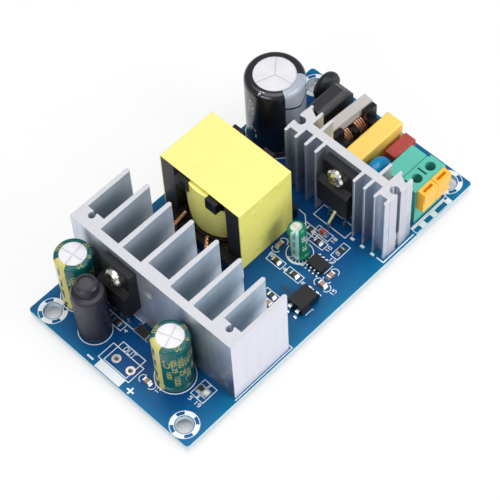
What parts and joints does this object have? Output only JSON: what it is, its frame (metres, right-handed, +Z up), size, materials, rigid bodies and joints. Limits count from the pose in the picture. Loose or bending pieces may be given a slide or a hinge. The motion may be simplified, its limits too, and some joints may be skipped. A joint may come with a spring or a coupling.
{
  "type": "open frame power supply",
  "caption": "Open frame switching power supply on one board, with finned heatsinks, transformer, capacitors and a push-in mains terminal.",
  "frame": {"origin": "centre of the four mounting holes, on the underside of the board", "axes": "+X along the board towards the mains input, +Z up from the solder side to the component side"},
  "size_m": [0.107, 0.058, 0.0296],
  "materials": {
    "board_blue": "solder mask",
    "solder": "bright solder",
    "screw_steel": "bright zinc",
    "aluminium_fins": "mill finish",
    "package_black": "moulded epoxy",
    "tinned_leads": "tinned",
    "can_aluminium": "satin",
    "sleeve_black": "shrink sleeve",
    "sleeve_green": "shrink sleeve",
    "ferrite": "ground ferrite",
    "copper": "enamelled copper",
    "choke_sleeve": "shrink tube",
    "bobbin_black": "phenolic",
    "tape_yellow": "polyester tape",
    "ferrite_pale": "coated ferrite",
    "xcap_yellow": "moulded box",
    "fuse_red": "moulded box",
    "disc_blue": "dipped epoxy",
    "disc_black": "dipped",
    "chip_dark": "chip",
    "chip_tan": "chip",
    "diode_red": "glass body",
    "led_clear": "clear epoxy",
    "terminal_green": "moulded",
    "button_orange": "moulded"
  },
  "bodies": {
    "supply": {"circuit_board": "board_blue", "solder_joints": "solder", "heatsink_screws": "screw_steel", "package_screws": "screw_steel", "output_heatsink": "aluminium_fins", "input_heatsink": "aluminium_fins", "rectifier_body": "package_black", "rectifier_leads": "tinned_leads", "transistor_body": "package_black", "transistor_leads": "tinned_leads", "bulk_capacitor_can": "can_aluminium", "bulk_capacitor_sleeve": "sleeve_black", "bulk_capacitor_leads": "tinned_leads", "output_capacitor_a_can": "can_aluminium", "output_capacitor_a_sleeve": "sleeve_green", "output_capacitor_b_can": "can_aluminium", "output_capacitor_b_sleeve": "sleeve_green", "output_capacitor_leads": "tinned_leads", "small_capacitor_can": "can_aluminium", "small_capacitor_sleeve": "sleeve_green", "small_capacitor_leads": "tinned_leads", "output_choke_core": "ferrite", "output_choke_winding": "copper", "output_choke_sleeve": "choke_sleeve", "output_choke_leads": "tinned_leads", "transformer_core_lower": "ferrite", "transformer_core_upper": "ferrite", "transformer_bobbin": "bobbin_black", "transformer_winding": "tape_yellow", "transformer_tape": "tape_yellow", "transformer_pins": "tinned_leads", "transformer_leads": "copper", "line_choke_core": "ferrite_pale", "line_choke_bobbin": "bobbin_black", "line_choke_winding_a": "copper", "line_choke_winding_b": "copper", "line_choke_pins": "tinned_leads", "x_capacitor": "xcap_yellow", "x_capacitor_leads": "tinned_leads", "fuse": "fuse_red", "fuse_leads": "tinned_leads", "y_capacitor": "disc_blue", "y_capacitor_leads": "tinned_leads", "thermistor": "disc_black", "thermistor_leads": "tinned_leads", "bridge_rectifier": "package_black", "bridge_rectifier_leads": "tinned_leads", "controller_ic": "package_black", "controller_ic_leads": "tinned_leads", "optocoupler": "package_black", "optocoupler_leads": "tinned_leads", "chip_resistors": "chip_dark", "chip_capacitors": "chip_tan", "chip_diode": "diode_red", "indicator_led": "led_clear", "terminal_housing": "terminal_green", "terminal_clips": "tinned_leads"},
    "button_1": {"terminal_button_1": "button_orange"},
    "button_2": {"terminal_button_2": "button_orange"}
  },
  "joints": [
    {"name": "button_1_press", "type": "slide", "parent": "supply", "child": "button_1", "axis": [0, 0, -1], "range_m": [0, 0.0015], "stiffness_N_per_m": 800},
    {"name": "button_2_press", "type": "slide", "parent": "supply", "child": "button_2", "axis": [0, 0, -1], "range_m": [0, 0.0015], "stiffness_N_per_m": 800}
  ]
}
